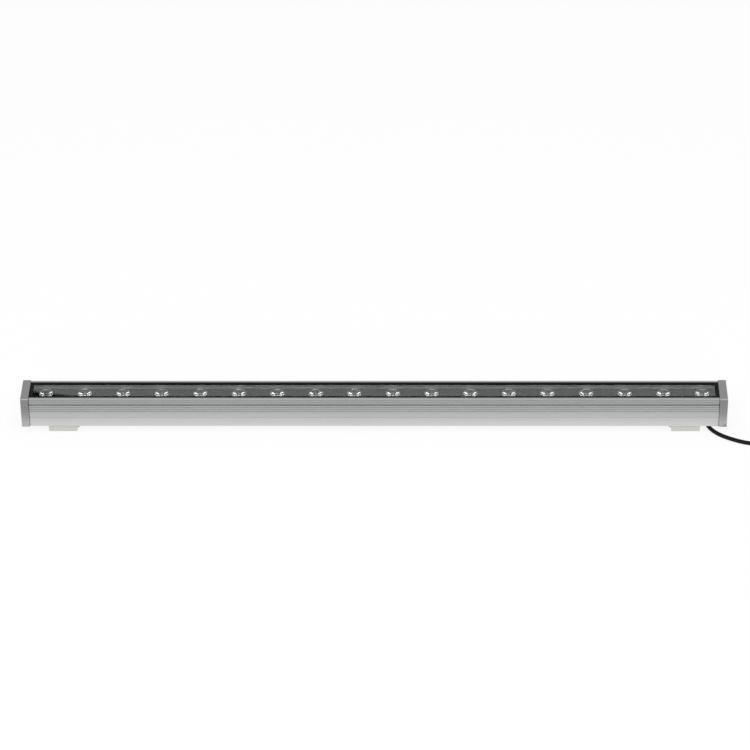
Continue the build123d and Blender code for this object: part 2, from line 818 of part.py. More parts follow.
def hank_node(i):
    """The place and direction of one of the hank's nodes, eight to a loop, from the front left end."""
    radius = hank_inner_radius + hank_step * abs(i - hank_turning_node) / hank_nodes_per_loop
    waist = radius - hank_waist_draw
    half = hank_run / 2
    offsets = [
        (-half, -radius), (0, -waist), (half, -radius), (half + radius, 0),
        (half, radius), (0, waist), (-half, radius), (-half - radius, 0),
    ]
    directions = [(1, 0), (1, 0), (1, 0), (0, 1), (-1, 0), (-1, 0), (-1, 0), (0, -1)]
    x, y = offsets[i % hank_nodes_per_loop]
    dx, dy = directions[i % hank_nodes_per_loop]
    climb_start = hank_turning_node - hank_climb_nodes / 2
    climbed = min(max(i - climb_start, 0), hank_climb_nodes) / hank_climb_nodes
    slope = 0.0
    if i == hank_turning_node:
        slope = math.tan(2 * math.atan(hank_layer_rise / hank_run))
    place = Vector(hank_centre_x + x, hank_centre_y + y, hank_z + hank_layer_rise * climbed)
    return place, Vector(dx, dy, slope).normalized()


def biarc(start, start_direction, end, end_direction):
    """Two arcs that join two points smoothly, leaving and arriving in the given directions."""
    across = end - start
    both = start_direction + end_direction
    a = 2 * (1 - start_direction.dot(end_direction))
    b = 2 * across.dot(both)
    c = -across.dot(across)
    reach = -c / b if abs(a) < near else (-b + math.sqrt(b * b - 4 * a * c)) / (2 * a)
    middle = (start + start_direction * reach + end - end_direction * reach) * 0.5
    first = Edge.make_tangent_arc(start, start_direction, middle)
    second = Edge.make_tangent_arc(middle, first % 1, end)
    return [first, second]


def hank_path():
    """The whole line of the hank, with a straight diameter at each end."""
    nodes = [hank_node(i) for i in range(hank_last_node + 1)]
    first, first_direction = nodes[0]
    last, last_direction = nodes[-1]
    edges = [Edge.make_line(first - first_direction * cord_diameter, first)]
    for (start, start_direction), (end, end_direction) in zip(nodes, nodes[1:]):
        edges += biarc(start, start_direction, end, end_direction)
    edges.append(Edge.make_line(last, last + last_direction * cord_diameter))
    return Wire(edges)


def make_hank(path):
    """The put-away length of cord: a flat hank of two layers, drawn in at its waist."""
    section = Plane(origin=path @ 0, z_dir=path % 0) * Circle(cord_radius)
    return sweep(section, path=path)


def least_gap(path, count=900, shortest_way=2.5):
    """The smallest clearance between two turns of the hank, on points over a few diameters apart along it."""
    points = [path @ (i / (count - 1)) for i in range(count)]
    apart = int(shortest_way * cord_diameter / (path.length / (count - 1))) + 1
    least = math.inf
    for i in range(count):
        for j in range(i + apart, count):
            least = min(least, (points[i] - points[j]).length)
    return least - cord_diameter


def make_tie():
    """The strap round the hank's waist."""
    half_loop = hank_nodes_per_loop // 2
    waist = [hank_node(i)[0].Y for i in range(hank_last_node) if i % half_loop == 1]
    half_y = (max(waist) - min(waist)) / 2 + cord_radius + tie_side_clearance
    top = hank_z + hank_layer_rise + cord_radius + tie_clearance
    outer = Rectangle(2 * (half_y + tie_thickness), top + tie_thickness)
    outer = fillet(outer.vertices(), cord_radius + tie_thickness)
    inner = Rectangle(2 * half_y, top - tie_thickness)
    inner = fillet(inner.vertices(), cord_radius)
    section = Pos((max(waist) + min(waist)) / 2, (top + tie_thickness) / 2) * (outer - inner)
    return along_x(section, hank_centre_x - tie_width / 2, tie_width)


def on_ground(points):
    """A route's chosen points, in place: X from the outlet, Y from the bar's middle, Z over the gap below."""
    return [(outlet_x + x, y, cord_radius + gap) for x, y, gap in points]


def cord_route():
    """The free stretch's points, from the strain relief's nose to the hank's first straight."""
    nose_end = relief_points()[2]
    hank_start, direction = hank_node(0)
    end = hank_start - direction * cord_diameter
    start = [tuple(nose_end), tuple(nose_end + heading * cord_first_run)]
    return start + on_ground(cord_points_seen) + [tuple(end - direction * cord_last_run), tuple(end)]


def tail_route():
    """The tail's points, from the hank's last straight to the connector."""
    last, direction = hank_node(hank_last_node)
    start = last + direction * cord_diameter
    points = on_ground(tail_points)
    x, y, z = points[-1]
    return [tuple(start), tuple(start + direction * tail_first_run)] + points + [(x - tail_last_run, y, z)]


def connector_axis(offset):
    """A plane square to the connector's axis, offset from where the cord enters it."""
    end_x, y, z = tail_route()[-1]
    return Plane(origin=(end_x - offset, y, z), x_dir=(0, 1, 0), z_dir=(-1, 0, 0))


def connector_rod(radius, start, length):
    """A round bar along the connector's axis."""
    return extrude(connector_axis(start) * Circle(radius), amount=length)


def contact_places():
    """Where the contacts sit on the connector's nose, in a plane square to its axis."""
    out = Pos(contact_circle_radius, 0, 0)
    return [Rot(0, 0, 360 / contact_count * i) * out for i in range(contact_count)]


def make_connector_body():
    """The connector's boot, body and front nose in one moulding, with a hole for each contact."""
    nose_start = connector_boot_length + connector_body_length
    boot = loft([
        connector_axis(0) * Circle(connector_boot_radius),
        connector_axis(connector_boot_length) * Circle(connector_radius - connector_boot_step),
    ])
    body = boot + connector_rod(connector_radius, connector_boot_length, connector_body_length)
    body += connector_rod(connector_nose_radius, nose_start, connector_nose_length)
    hole_start = nose_start + connector_nose_length - contact_depth
    for place in contact_places():
        hole = connector_axis(hole_start) * place * Circle(contact_radius)
        body -= extrude(hole, amount=contact_depth + overrun)
    return body


def make_connector_ring():
    """The fluted coupling ring round the connector's front."""
    start = connector_boot_length + connector_body_length - connector_ring_setback
    ring = connector_rod(connector_ring_radius, start, connector_ring_length)
    for i in range(connector_flutes):
        turn = Rot(0, 0, 360 / connector_flutes * i)
        flute = turn * Pos(connector_ring_radius, 0, 0) * Circle(connector_flute_radius)
        ring -= extrude(connector_axis(start) * flute, amount=connector_ring_length)
    bore_length = connector_ring_length + 2 * overrun
    return ring - connector_rod(connector_radius + connector_ring_clearance, start - overrun, bore_length)


def make_connector_contacts():
    """The brass contact sleeves, flush with the connector's nose."""
    start = connector_boot_length + connector_body_length + connector_nose_length - contact_depth
    sleeve = Circle(contact_radius) - Circle(contact_bore_radius)
    plane = connector_axis(start)
    return [extrude(plane * place * sleeve, amount=contact_depth) for place in contact_places()]


def as_solids(shape):
    """Every solid of a shape or of a list of shapes."""
    if isinstance(shape, (list, tuple)):
        return [solid for item in shape for solid in item.solids()]
    return list(shape.solids())


def write_node(name, shape):
    """Writes one node's file, with all its solids."""
    solids = as_solids(shape)
    export_step(solids[0] if len(solids) == 1 else Compound(children=solids), f"parts/{name}.step")


def report_route(name, points, tube):
    """Prints a route's corner radii, and its tube's volume beside section times length."""
    radii = corner_radii(points)
    path = FilletPolyline(*points, radius=radii)
    expected = math.pi * cord_radius**2 * path.length
    print(name, "radii", [round(radius, 1) for radius in radii], "length", round(path.length, 1))
    print(name, "volume", round(tube.volume, 1), "of", round(expected, 1))


def main():
    os.makedirs("parts", exist_ok=True)
    write_node("housing_extrusion", make_housing())
    write_node("glass_cover", make_glass())
    write_node("glass_seal", make_glass_seal())
    write_node("lens_trim_plate", make_trim_plate())
    write_node("led_board", make_led_board())
    write_node("led_board_screws", make_board_screws())
    write_node("led_emitters", make_emitters())
    write_node("lenses", [make_lens(x) for x in led_positions()])
    write_node("lens_holders", [make_holder(x) for x in led_positions()])
    write_node("driver_board", make_driver_board())
    write_node("driver_spacers", make_driver_spacers())
    write_node("driver_components", make_driver_components())
    write_node("input_leads", make_input_leads())
    write_node("led_leads", make_led_leads())
    write_node("strain_relief", make_strain_relief())
    write_node("outlet_washer", make_outlet_washer())
    write_node("outlet_nut", make_outlet_nut())
    for side, word in ((-1, "left"), (1, "right")):
        write_node(f"end_cap_{word}", make_end_cap(side))
        write_node(f"end_gasket_{word}", make_end_gasket(side))
        write_node(f"end_cap_screws_{word}", make_cap_screws(side))
        write_node(f"slot_slider_{word}", make_slider(side))
        write_node(f"hanger_{word}", make_hanger(side))
        write_node(f"clamp_bolt_{word}", make_clamp_bolt(side))
        write_node(f"foot_{word}", make_foot(side))
        write_node(f"pivot_bolt_{word}", make_pivot_bolt(side))
        write_node(f"pivot_washer_{word}", make_pivot_washer(side))
    cord = tube_along(cord_route(), corner_radii(cord_route()), cord_radius)
    tail = tube_along(tail_route(), corner_radii(tail_route()), cord_radius)
    hank_line = hank_path()
    report_route("power_cord", cord_route(), cord)
    report_route("cord_tail", tail_route(), tail)
    print("hank length", round(hank_line.length, 1), "least gap", round(least_gap(hank_line), 2))
    write_node("power_cord", cord)
    write_node("cord_tail", tail)
    write_node("cord_hank", make_hank(hank_line))
    write_node("cord_tie", make_tie())
    write_node("connector_body", make_connector_body())
    write_node("connector_ring", make_connector_ring())
    write_node("connector_contacts", make_connector_contacts())


main()
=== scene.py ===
import math

import bmesh
import bpy
import numpy as np
from mathutils import Matrix, Vector


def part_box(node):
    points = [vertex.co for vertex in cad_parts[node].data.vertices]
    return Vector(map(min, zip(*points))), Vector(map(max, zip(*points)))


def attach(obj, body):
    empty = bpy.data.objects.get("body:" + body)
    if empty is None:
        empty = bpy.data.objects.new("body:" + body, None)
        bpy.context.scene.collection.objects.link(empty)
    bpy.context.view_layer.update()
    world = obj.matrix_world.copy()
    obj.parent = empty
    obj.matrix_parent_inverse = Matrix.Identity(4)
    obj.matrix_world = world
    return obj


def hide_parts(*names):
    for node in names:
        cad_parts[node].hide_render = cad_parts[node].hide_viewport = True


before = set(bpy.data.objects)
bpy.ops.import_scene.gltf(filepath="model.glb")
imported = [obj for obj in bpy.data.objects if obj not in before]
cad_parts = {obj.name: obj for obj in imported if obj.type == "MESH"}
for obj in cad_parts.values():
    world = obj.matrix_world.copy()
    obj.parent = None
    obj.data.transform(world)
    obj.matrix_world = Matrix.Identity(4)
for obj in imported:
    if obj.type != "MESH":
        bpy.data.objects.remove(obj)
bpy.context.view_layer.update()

bl_info = {
    "name": "Linear wall-washer bar",
    "version": (1, 0, 0),
    "blender": (4, 5, 0),
    "location": "3D View > Sidebar > Wall washer",
    "description": "Dresses the packed bar: metal, glass, lenses, cord and a plain studio",
    "category": "Object",
}

# The part's own sizes below are in millimetres, and the stage's are in metres
MM = 0.001


# Node groups and materials

# The sockets of a Mix node that blends colours
MIX_FACTOR, MIX_FIRST, MIX_SECOND, MIX_RESULT = 0, 6, 7, 2
# The middle of the mixed noise, which is spread over the whole way from the first colour to the second
NOISE_MIDDLE = (0.35, 0.65)


def new_group(name, inputs, outputs):
    """An empty shader node group with named sockets, and its input and output nodes."""
    group = bpy.data.node_groups.new(name, "ShaderNodeTree")
    for label, kind, default in inputs:
        socket = group.interface.new_socket(label, in_out="INPUT", socket_type=kind)
        socket.default_value = default
    for label, kind in outputs:
        group.interface.new_socket(label, in_out="OUTPUT", socket_type=kind)
    return group, group.nodes.new("NodeGroupInput"), group.nodes.new("NodeGroupOutput")


def feed(tree, socket, value):
    """Links a socket to another one, or gives it a constant."""
    if isinstance(value, bpy.types.NodeSocket):
        tree.links.new(value, socket)
    else:
        socket.default_value = value


def maths(tree, operation, *values):
    """A Math node: each value is a number or a socket."""
    node = tree.nodes.new("ShaderNodeMath")
    node.operation = operation
    for socket, value in zip(node.inputs, values):
        feed(tree, socket, value)
    return node.outputs[0]


def spread(tree, value, low, high, given=(0.0, 1.0)):
    """A value that runs over the given range, spread from low to high."""
    node = tree.nodes.new("ShaderNodeMapRange")
    for label, end in (("Value", value), ("From Min", given[0]), ("From Max", given[1]),
                       ("To Min", low), ("To Max", high)):
        feed(tree, node.inputs[label], end)
    return node.outputs["Result"]


def between(tree, value, low, high):
    """One where a length in metres lies between two values in millimetres, and nought elsewhere."""
    return maths(tree, "MULTIPLY", maths(tree, "GREATER_THAN", value, low * MM),
                 maths(tree, "LESS_THAN", value, high * MM))


def noise(tree, vector, scale, detail, roughness=0.6):
    """The factor of a noise texture."""
    node = tree.nodes.new("ShaderNodeTexNoise")
    for label, value in (("Vector", vector), ("Scale", scale), ("Detail", detail), ("Roughness", roughness)):
        feed(tree, node.inputs[label], value)
    return node.outputs["Fac"]


def blend_colours(tree, factor, first, second, blend="MIX"):
    """A colour blended from two others."""
    node = tree.nodes.new("ShaderNodeMix")
    node.data_type, node.blend_type = "RGBA", blend
    for socket, value in ((MIX_FACTOR, factor), (MIX_FIRST, first), (MIX_SECOND, second)):
        feed(tree, node.inputs[socket], value)
    return node.outputs[MIX_RESULT]


def make_surface_group():
    """Fine grain and slow clouding: half of each drives colour and roughness, and the grain alone the height."""
    group, given, out = new_group(
        "Surface grain",
        [("Vector", "NodeSocketVector", (0, 0, 0)), ("Stretch", "NodeSocketVector", (1, 1, 1)),
         ("Colour", "NodeSocketColor", (0.5, 0.5, 0.5, 1)),
         ("Second colour", "NodeSocketColor", (0.4, 0.4, 0.4, 1)),
         ("Grain scale", "NodeSocketFloat", 1500.0), ("Cloud scale", "NodeSocketFloat", 30.0),
         ("Roughness low", "NodeSocketFloat", 0.4), ("Roughness high", "NodeSocketFloat", 0.5)],
        [("Colour", "NodeSocketColor"), ("Roughness", "NodeSocketFloat"), ("Height", "NodeSocketFloat")])
    scaled = group.nodes.new("ShaderNodeVectorMath")
    scaled.operation = "MULTIPLY"
    group.links.new(given.outputs["Vector"], scaled.inputs[0])
    group.links.new(given.outputs["Stretch"], scaled.inputs[1])
    grain = noise(group, scaled.outputs[0], given.outputs["Grain scale"], detail=2.0)
    cloud = noise(group, scaled.outputs[0], given.outputs["Cloud scale"], detail=4.0)
    mixed = maths(group, "ADD", maths(group, "MULTIPLY", grain, 0.5), maths(group, "MULTIPLY", cloud, 0.5))
    share = spread(group, mixed, 0.0, 1.0, NOISE_MIDDLE)
    colour = blend_colours(group, share, given.outputs["Colour"], given.outputs["Second colour"])
    rough = spread(group, share, given.outputs["Roughness low"], given.outputs["Roughness high"])
    for label, value in (("Colour", colour), ("Roughness", rough), ("Height", grain)):
        group.links.new(value, out.inputs[label])
    return group


def new_material(name, metallic=0.0, **sockets):
    """A material with one Principled shader, its constants on its own sockets."""
    material = bpy.data.materials.new(name)
    material.use_nodes = True
    shader = principled(material)
    shader.inputs["Metallic"].default_value = metallic
    for label, value in sockets.items():
        shader.inputs[label.replace("_", " ")].default_value = value
    return material


def principled(material):
    """A material's Principled shader."""
    return material.node_tree.nodes["Principled BSDF"]


def object_vector(tree):
    """Object coordinates."""
    return tree.nodes.new("ShaderNodeTexCoord").outputs["Object"]


def bump(tree, shader, height, distance):
    """A Bump node on the shader's Normal."""
    node = tree.nodes.new("ShaderNodeBump")
    node.inputs["Distance"].default_value = distance
    tree.links.new(height, node.inputs["Height"])
    tree.links.new(node.outputs["Normal"], shader.inputs["Normal"])


def grained(name, colour, second, stretch=(1, 1, 1), grain=1500.0, cloud=30.0, rough=(0.4, 0.5),
            depth=0.00002, metallic=0.0, **sockets):
    """A material whose colour, roughness and bump come from the shared grain group."""
    material = new_material(name, metallic, **sockets)
    tree, shader = material.node_tree, principled(material)
    node = tree.nodes.new("ShaderNodeGroup")
    node.node_tree = bpy.data.node_groups.get("Surface grain") or make_surface_group()
    tree.links.new(object_vector(tree), node.inputs["Vector"])
    for label, value in (("Stretch", stretch), ("Colour", (*colour, 1)), ("Second colour", (*second, 1)),
                         ("Grain scale", grain), ("Cloud scale", cloud),
                         ("Roughness low", rough[0]), ("Roughness high", rough[1])):
        node.inputs[label].default_value = value
    tree.links.new(node.outputs["Colour"], shader.inputs["Base Color"])
    tree.links.new(node.outputs["Roughness"], shader.inputs["Roughness"])
    bump(tree, shader, node.outputs["Height"], depth)
    return material


def dress(material, *nodes):
    """Puts a material in the slots of CAD nodes."""
    for name in nodes:
        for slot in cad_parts[name].material_slots:
            slot.material = material


def rgb(value):
    """A colour setting as a plain tuple."""
    return tuple(value)[:3]


def scaled_colour(colour, share):
    """A colour times a share."""
    return tuple(c * share for c in colour)


# Surfaces

# Steps round a body of revolution, and the angle between two faces from which their edge is sharp
ROUND_STEPS, SHARP_DEGREES = 64, 30.0


def in_scene(name, data):
    """An object of the given data at the origin, in the scene's collection."""
    obj = bpy.data.objects.new(name, data)
    bpy.context.scene.collection.objects.link(obj)
    return obj


def closed_piece(name, points, faces):
    """A closed piece at the origin from arrays of points and four-cornered faces: its flat ends are filled, its
    faces turned outwards, and it is smooth but for its sharp edges."""
    mesh = bpy.data.meshes.new(name)
    mesh.from_pydata(points.tolist(), [], [tuple(dict.fromkeys(face)) for face in faces.tolist()])
    mesh.polygons.foreach_set("use_smooth", np.ones(len(mesh.polygons), dtype=bool))
    work = bmesh.new()
    work.from_mesh(mesh)
    edges = [edge for edge in work.edges if edge.is_boundary]
    if edges:
        bmesh.ops.holes_fill(work, edges=edges)
    bmesh.ops.recalc_face_normals(work, faces=work.faces)
    work.to_mesh(mesh)
    work.free()
    mesh.set_sharp_from_angle(angle=math.radians(SHARP_DEGREES))
    return in_scene(name, mesh)


def ring_faces(rows, columns, wrap_rows):
    """The faces of a grid of points whose columns wrap round, and whose rows may."""
    row = np.arange(rows if wrap_rows else rows - 1)[:, None]
    column = np.arange(columns)[None, :]
    after, beside = (row + 1) % rows, (column + 1) % columns
    corners = (row * columns + column, row * columns + beside, after * columns + beside, after * columns + column)
    return np.stack([np.broadcast_to(c, (len(row), columns)) for c in corners], axis=-1).reshape(-1, 4)


def revolved(profile, centres):
    """Bodies of revolution: point = (cx + r cos a, cy + r sin a, z) for each (r, z) of the profile, each angle a
    and each centre. A profile that starts and ends on the axis closes in one point there."""
    profile = np.asarray(profile, dtype=float)
    angle = np.linspace(0, 2 * np.pi, ROUND_STEPS, endpoint=False)
    r, z = profile[:, :1], profile[:, 1:]
    body = np.stack([r * np.cos(angle), r * np.sin(angle), z + 0 * angle], axis=-1)
    on_axis = profile[0, 0] == 0
    faces = ring_faces(len(profile), ROUND_STEPS, not on_axis)
    if on_axis:
        merged = np.arange(len(profile) * ROUND_STEPS)
        merged[:ROUND_STEPS], merged[-ROUND_STEPS:] = 0, merged[-ROUND_STEPS]
        faces = merged[faces]
    body = body.reshape(-1, 3)
    points = (body[None] + np.asarray(centres, dtype=float)[:, None]).reshape(-1, 3)
    faces = (faces[None] + (len(body) * np.arange(len(centres)))[:, None, None]).reshape(-1, 4)
    used, faces = np.unique(faces, return_inverse=True)
    return points[used] * MM, faces.reshape(-1, 4)


def mitred_ring(profile, half_x, half_y):
    """A frame of one closed profile along a rectangle: point = (+-(half_x - w), +-(half_y - w), z) for each
    (w, z) of the profile, w inwards from the rectangle."""
    signs = np.array([(-1, -1), (1, -1), (1, 1), (-1, 1)])
    w, z = profile[:, 0][:, None], profile[:, 1][:, None]
    points = np.stack([signs[:, 0] * (half_x - w), signs[:, 1] * (half_y - w), z + 0 * signs[:, 0]], axis=-1)
    return points.reshape(-1, 3) * MM, ring_faces(len(profile), len(signs), True)


def bar_along_x(profile, ends):
    """A closed profile carried along X: point = (x, y, z) for each end x and each (y, z) of the profile."""
    points = np.array([(x, y, z) for x in ends for y, z in profile])
    return points * MM, ring_faces(len(ends), len(profile), False)


def arc(centre, radius, start, end, count):
    """Points on an arc, angles in degrees."""
    angle = np.radians(np.linspace(start, end, count))
    return np.stack([centre[0] + radius * np.cos(angle), centre[1] + radius * np.sin(angle)], axis=-1)


def x_range(node):
    """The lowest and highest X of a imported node, in millimetres."""
    return [corner[0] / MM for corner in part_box(node)]


def carried(obj, material, slot, body, *replaced):
    """Gives a piece its material, the body that it rides on and the nodes that it replaces. The slot is not used.
    """
    obj.data.materials.append(material)
    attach(obj, body)
    if replaced:
        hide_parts(*replaced)


# Settings

class MetalSettings(bpy.types.PropertyGroup):
    anodised: bpy.props.FloatVectorProperty(
        name="Anodised bar", description="Colour of the extruded bar", subtype="COLOR",
        default=(0.70, 0.714, 0.707))
    cap: bpy.props.FloatVectorProperty(
        name="End caps", description="Colour of the blasted end caps", subtype="COLOR",
        default=(0.52, 0.532, 0.528))
    bracket: bpy.props.FloatVectorProperty(
        name="Brackets", description="Colour of the feet and hangers", subtype="COLOR",
        default=(0.68, 0.675, 0.645))


class OpticsSettings(bpy.types.PropertyGroup):
    trim: bpy.props.FloatVectorProperty(
        name="Trim plate", description="Colour of the plate round the lenses", subtype="COLOR",
        default=(0.012, 0.013, 0.013))
    seal: bpy.props.FloatVectorProperty(
        name="Seal", description="Colour of the silicone seal", subtype="COLOR", default=(0.004, 0.005, 0.005))


class CordSettings(bpy.types.PropertyGroup):
    diameter: bpy.props.FloatProperty(
        name="Diameter", description="Outside diameter of the cord", default=0.006, unit="LENGTH")
    length: bpy.props.FloatProperty(
        name="Length", description="Whole length of the cord", default=0.991, unit="LENGTH")
    colour: bpy.props.FloatVectorProperty(
        name="Jacket", description="Colour of the cord's jacket", subtype="COLOR",
        default=(0.004, 0.004, 0.004))


class StageSettings(bpy.types.PropertyGroup):
    azimuth: bpy.props.FloatProperty(
        name="Azimuth", description="Turn of the camera about the upright", default=math.radians(-1.144),
        subtype="ANGLE")
    elevation: bpy.props.FloatProperty(
        name="Elevation", description="Camera's angle above the floor", default=math.radians(34.51),
        subtype="ANGLE")
    roll: bpy.props.FloatProperty(
        name="Roll", description="Turn about the line of sight", default=math.radians(-0.655), subtype="ANGLE")
    distance: bpy.props.FloatProperty(
        name="Distance", description="From the camera to the bar", default=5.0, unit="LENGTH")
    lens: bpy.props.FloatProperty(
        name="Lens", description="Focal length", default=169.88, unit="CAMERA")
    key: bpy.props.FloatProperty(
        name="Key", description="Power of the high front lamp", default=105.0, unit="POWER")
    low: bpy.props.FloatProperty(
        name="Low", description="Power of the low front lamp", default=10.0, unit="POWER")
    shadow: bpy.props.FloatProperty(
        name="Shadow", description="Share of the floor's white that the shadow can take", default=0.18)
    front_card: bpy.props.FloatProperty(
        name="Front card", description="What the bar's front mirrors beyond the white floor", default=0.5)
    back_card: bpy.props.FloatProperty(
        name="Back card", description="What the lips mirror at the back", default=0.5)
    strip_card: bpy.props.FloatProperty(
        name="Strip card", description="What the glass mirrors, too narrow to show in the metal", default=0.78)
    aim: bpy.props.FloatVectorProperty(
        name="Aim", description="The point in the middle of the picture", default=(0.00209, 0.0, 0.08574),
        subtype="TRANSLATION")


# Cord

# A loop of the hank has eight steps: a run and a half turn on each side, two steps each
LOOP_STEPS, SIDE_STEPS, RUN_STEPS = 8, 4, 2
# A run's points: the place along its half length, the step, and whether it is drawn in there
RUN_POINTS = [(-0.6, 0.4, 0), (-0.2, 0.8, 1), (0.2, 1.2, 1), (0.6, 1.6, 0)]
# A half turn's points stand on a polygon with this many degrees between its corners
TURN_POINTS, TURN_DEGREES = 4, 45.0


def hank_points(centre, run, inner, step, draw, turning, last, low, rise):
    """The hank's control points, sixteen to a loop. A loop is two runs, drawn in at the middle, and two
    half turns, whose points stand on a polygon round the turn. The radius falls at a steady rate to the
    turning point and grows again, and the height climbs there from one layer to the next."""
    def radius_at(s):
        return inner + step * abs(s - turning) / LOOP_STEPS

    points = []
    corner = 1 / math.cos(math.radians(TURN_DEGREES / 2))
    for loop in range(last // LOOP_STEPS + 1):
        for side, base in ((1, 0), (-1, SIDE_STEPS)):
            start = LOOP_STEPS * loop + base
            for share, at, waist in RUN_POINTS:
                s = start + at
                points.append((s, side * share * run / 2, -side * (radius_at(s) - draw * waist)))
            for k in range(TURN_POINTS):
                s = start + RUN_STEPS + (k + 0.5) * RUN_STEPS / TURN_POINTS
                turn = math.radians(TURN_DEGREES * (k + 0.5) - 90)
                radius = corner * radius_at(s)
                points.append((s, side * (run / 2 + radius * math.cos(turn)), side * radius * math.sin(turn)))
    return [
        (centre[0] + x, centre[1] + y, low + rise * min(max((s - turning + 1) / 2, 0), 1))
        for s, x, y in points if s < last
    ]


def cord_points():
    """The cord's control points in metres: from the strain relief, along the floor, round the hank and
    into the connector."""
    seen = [
        (471.715, 0.917, 5.4), (474.730, -13.266, 5.4), (485.0, -25.3, 3.2), (501.0, -37.3, 3.0),
        (526.2, -49.6, 3.0), (551.7, -54.0, 3.8), (579.7, -54.0, 3.8),
    ]
    hank = hank_points(centre=(630.7, -28.125), run=90.0, inner=18.0, step=7.0, draw=3.0, turning=9, last=19,
                       low=3.8, rise=6.5)
    tail = [
        (702.45, -22.125, 10.3), (702.45, -3.125, 10.3), (685.2, 18.0, 10.1), (666.7, 27.0, 8.5),
        (648.7, 27.0, 8.5),
    ]
    return [tuple(c * MM for c in point) for point in seen + hank + tail]


def spline_curve(name, points, radius):
    """A curve object of one open spline through its control points, with a round bevel."""
    data = bpy.data.curves.new(name, "CURVE")
    data.dimensions = "3D"
    data.bevel_depth = radius
    data.bevel_resolution = 5
    data.use_fill_caps = True
    data.resolution_u = 6
    spline = data.splines.new("NURBS")
    spline.points.add(len(points) - 1)
    spline.points.foreach_set("co", np.c_[np.array(points), np.ones(len(points))].ravel())
    spline.order_u = 3
    spline.use_endpoint_u = True
    return in_scene(name, data)


class LAMP_OT_cord(bpy.types.Operator):
    """Lays the black cord from its strain relief to the hank and the connector"""
    bl_idname = "lamp.cord"
    bl_label = "Cord"

    def execute(self, context):
        settings = context.scene.lamp_cord
        cord = spline_curve("supply_cord", cord_points(), settings.diameter / 2)
        colour = rgb(settings.colour)
        jacket = grained("Cord jacket", colour, scaled_colour(colour, 1.5), grain=900.0, cloud=60.0,
                         rough=(0.38, 0.5), depth=0.00001, Specular_IOR_Level=0.2)
        cord.data.materials.append(jacket)
        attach(cord, "lamp")
        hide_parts("power_cord", "cord_hank", "cord_tail")
        cord_points()[0]
        dress(jacket, "strain_relief")
        return {"FINISHED"}


# Lenses

LENS_COUNT = 18
# Half a light along the bar, and the height of a lens's foot
LIGHT_HALF, LENS_FOOT = 1.75, 44.5
# The cup under a lens, radius and height: a thin wall on a wider foot, its upper edge rounded off
HOLDER_CUP = [(9.7, 43.6), (10.3, 43.6), (10.3, 46.2), (10.1, 46.4), (10.1, 51.7), (9.95, 51.9), (9.7, 51.9)]


def lens_places():
    """The middle of each lens along the bar, in millimetres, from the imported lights."""
    low, high = x_range("led_emitters")
    half = (high - low) / 2 - LIGHT_HALF
    return np.linspace(-half, half, LENS_COUNT)


def lens_profile():
    """Half a lens, radius and height, from its bowl round to the middle of its top: a bowl over the light, a
    straight cone for the side, and a thin flange with rounded edges."""
    bowl = [(0.0, 49.7), (1.0, 49.6), (1.6, 49.3), (1.9, 48.5), (2.3, LENS_FOOT)]
    cone = [(3.8, LENS_FOOT), (9.5, 52.0)]
    flange = [*arc((9.7, 52.4), 0.4, -90, 0, 5), *arc((9.5, 52.8), 0.6, 0, 90, 6)]
    top = [*arc((9.1, 52.6), 0.8, 90, 170, 5), (8.0, 52.6), (0.0, 52.6)]
    return np.array([*bowl, *cone, *flange, *top])


# Metal

# Two parts of the bar's section, out from its middle and up: the wide side groove and the channel under the glass
GROOVE_OUT, GROOVE_UP = (20.5, 23.4), (48.2, 53.2)
CHANNEL_HALF, CHANNEL_UP = 19.2, (42.5, 54.9)
# The painted shade in the wide groove, as its share of the bar's colour, and the painted highlight on the caps'
# cut edges
GROOVE_PAINTED_SHADE, CHAMFER_PAINTED_HIGHLIGHT = 0.92, (0.86, 0.87, 0.865)
# The product of a normal's Y and Z from which a face is a cut edge
CUT_LEAN = 0.3
# The channel's paint away from the lenses, the painted light from the lenses beside each one, how far that painted
# light reaches from a lens, and the paint's Metallic
CHANNEL_GREY, PAINTED_LENS_LIGHT, LENS_REACH, CHANNEL_METALLIC = (0.56, 0.575, 0.57), (0.8, 0.82, 0.81), 15.0, 0.2
# The feet's front cover in Y and Z: a thin strip from the pivot's height to the plate's foot, rounded below
FOOT_COVER = [
    *arc((-16.15, 0.75), 0.6, 180, 270, 5), (-16.0, 0.15), (-16.0, 4.0), (-16.36, 4.2), (-16.36, 8.7),
    (-16.62, 8.75), (-16.62, 3.9),
]


def shade_bar(material):
    """The wide side groove is painted a little darker: painted shade. The channel under the glass is dull and
    painted grey, and lighter beside each lens, which is painted light from the lenses: by the distance along the
    bar from the nearest lens, over LENS_REACH."""
    tree, shader = material.node_tree, principled(material)
    split = tree.nodes.new("ShaderNodeSeparateXYZ")
    tree.links.new(object_vector(tree), split.inputs[0])
    along, height = split.outputs["X"], split.outputs["Z"]
    across = maths(tree, "ABSOLUTE", split.outputs["Y"])
    # Painted shade: the wide side groove is painted darker than the rest of the bar
    groove = maths(tree, "MULTIPLY", between(tree, across, *GROOVE_OUT), between(tree, height, *GROOVE_UP))
    shade = blend_colours(tree, groove, (1, 1, 1, 1), (GROOVE_PAINTED_SHADE, GROOVE_PAINTED_SHADE, GROOVE_PAINTED_SHADE, 1))
    plain = shader.inputs["Base Color"].links[0].from_socket
    bar = blend_colours(tree, 1.0, plain, shade, "MULTIPLY")
    channel = maths(tree, "MULTIPLY", maths(tree, "LESS_THAN", across, CHANNEL_HALF * MM),
                    between(tree, height, *CHANNEL_UP))
    # Painted light from the lenses: the channel is painted lighter near each lens
    first, second = lens_places()[:2] * MM
    away = maths(tree, "PINGPONG", maths(tree, "SUBTRACT", along, first), (second - first) / 2)
    beside = spread(tree, away, 1.0, 0.0, (0.0, LENS_REACH * MM))
    grey = blend_colours(tree, beside, (*CHANNEL_GREY, 1), (*PAINTED_LENS_LIGHT, 1))
    tree.links.new(blend_colours(tree, channel, bar, grey), shader.inputs["Base Color"])
    tree.links.new(spread(tree, channel, 1.0, CHANNEL_METALLIC), shader.inputs["Metallic"])


